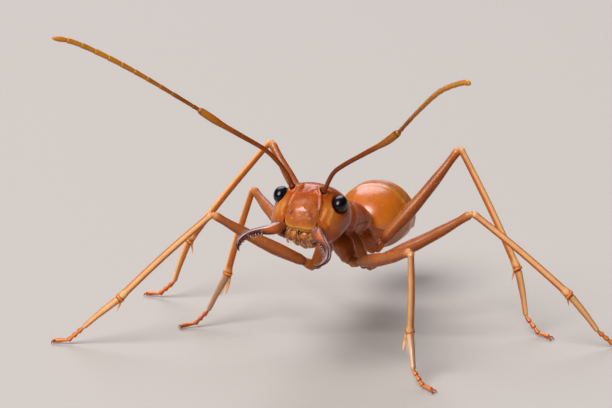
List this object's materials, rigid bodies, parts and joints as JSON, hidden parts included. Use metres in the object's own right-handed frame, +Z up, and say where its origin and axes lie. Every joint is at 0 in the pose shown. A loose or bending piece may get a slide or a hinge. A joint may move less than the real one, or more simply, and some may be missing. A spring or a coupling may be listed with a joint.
{
  "type": "weaver ant",
  "caption": "Life-size still model of a weaver ant worker, standing on all its feet with its head up, feelers raised and jaws open.",
  "frame": {"origin": "on the floor, under the middle of the box that holds the whole ant", "axes": "-Y the way the ant faces, +X its left side, +Z up"},
  "size_m": [0.0129, 0.0107, 0.0081],
  "materials": {
    "head_shell": "smooth glossy orange shell, lilac sheen on top",
    "trunk_shell": "satin orange-brown shell with fine pale down",
    "gaster_shell": "satin amber plates with fine pale down",
    "leg_shell": "translucent amber, smooth",
    "foot_shell": "orange-red, finely bristled",
    "feeler_shell": "red-brown, finely downy",
    "jaw_shell": "dark red-brown, polished",
    "eye_lens": "glossy black with fine facets"
  },
  "bodies": {
    "root": {"head": "head_shell", "clypeus": "head_shell", "eye_left": "eye_lens", "eye_right": "eye_lens", "mandible_left": "jaw_shell", "mandible_right": "jaw_shell", "mouthparts": "foot_shell", "scape_left": "feeler_shell", "funiculus_left_1": "feeler_shell", "funiculus_left_2": "feeler_shell", "funiculus_left_3": "feeler_shell", "scape_right": "feeler_shell", "funiculus_right_1": "feeler_shell", "funiculus_right_2": "feeler_shell", "funiculus_right_3": "feeler_shell", "neck": "trunk_shell", "pronotum": "trunk_shell", "mesothorax": "trunk_shell", "propodeum": "trunk_shell", "petiole": "trunk_shell", "gaster_1": "gaster_shell", "gaster_2": "gaster_shell", "gaster_3": "gaster_shell", "gaster_4": "gaster_shell", "gaster_5": "gaster_shell", "front_left_coxa": "leg_shell", "front_left_trochanter": "leg_shell", "front_left_femur": "leg_shell", "front_left_tibia": "leg_shell", "front_left_tarsus": "foot_shell", "front_right_coxa": "leg_shell", "front_right_trochanter": "leg_shell", "front_right_femur": "leg_shell", "front_right_tibia": "leg_shell", "front_right_tarsus": "foot_shell", "middle_left_coxa": "leg_shell", "middle_left_trochanter": "leg_shell", "middle_left_femur": "leg_shell", "middle_left_tibia": "leg_shell", "middle_left_tarsus": "foot_shell", "middle_right_coxa": "leg_shell", "middle_right_trochanter": "leg_shell", "middle_right_femur": "leg_shell", "middle_right_tibia": "leg_shell", "middle_right_tarsus": "foot_shell", "hind_left_coxa": "leg_shell", "hind_left_trochanter": "leg_shell", "hind_left_femur": "leg_shell", "hind_left_tibia": "leg_shell", "hind_left_tarsus": "foot_shell", "hind_right_coxa": "leg_shell", "hind_right_trochanter": "leg_shell", "hind_right_femur": "leg_shell", "hind_right_tibia": "leg_shell", "hind_right_tarsus": "foot_shell"}
  },
  "joints": []
}
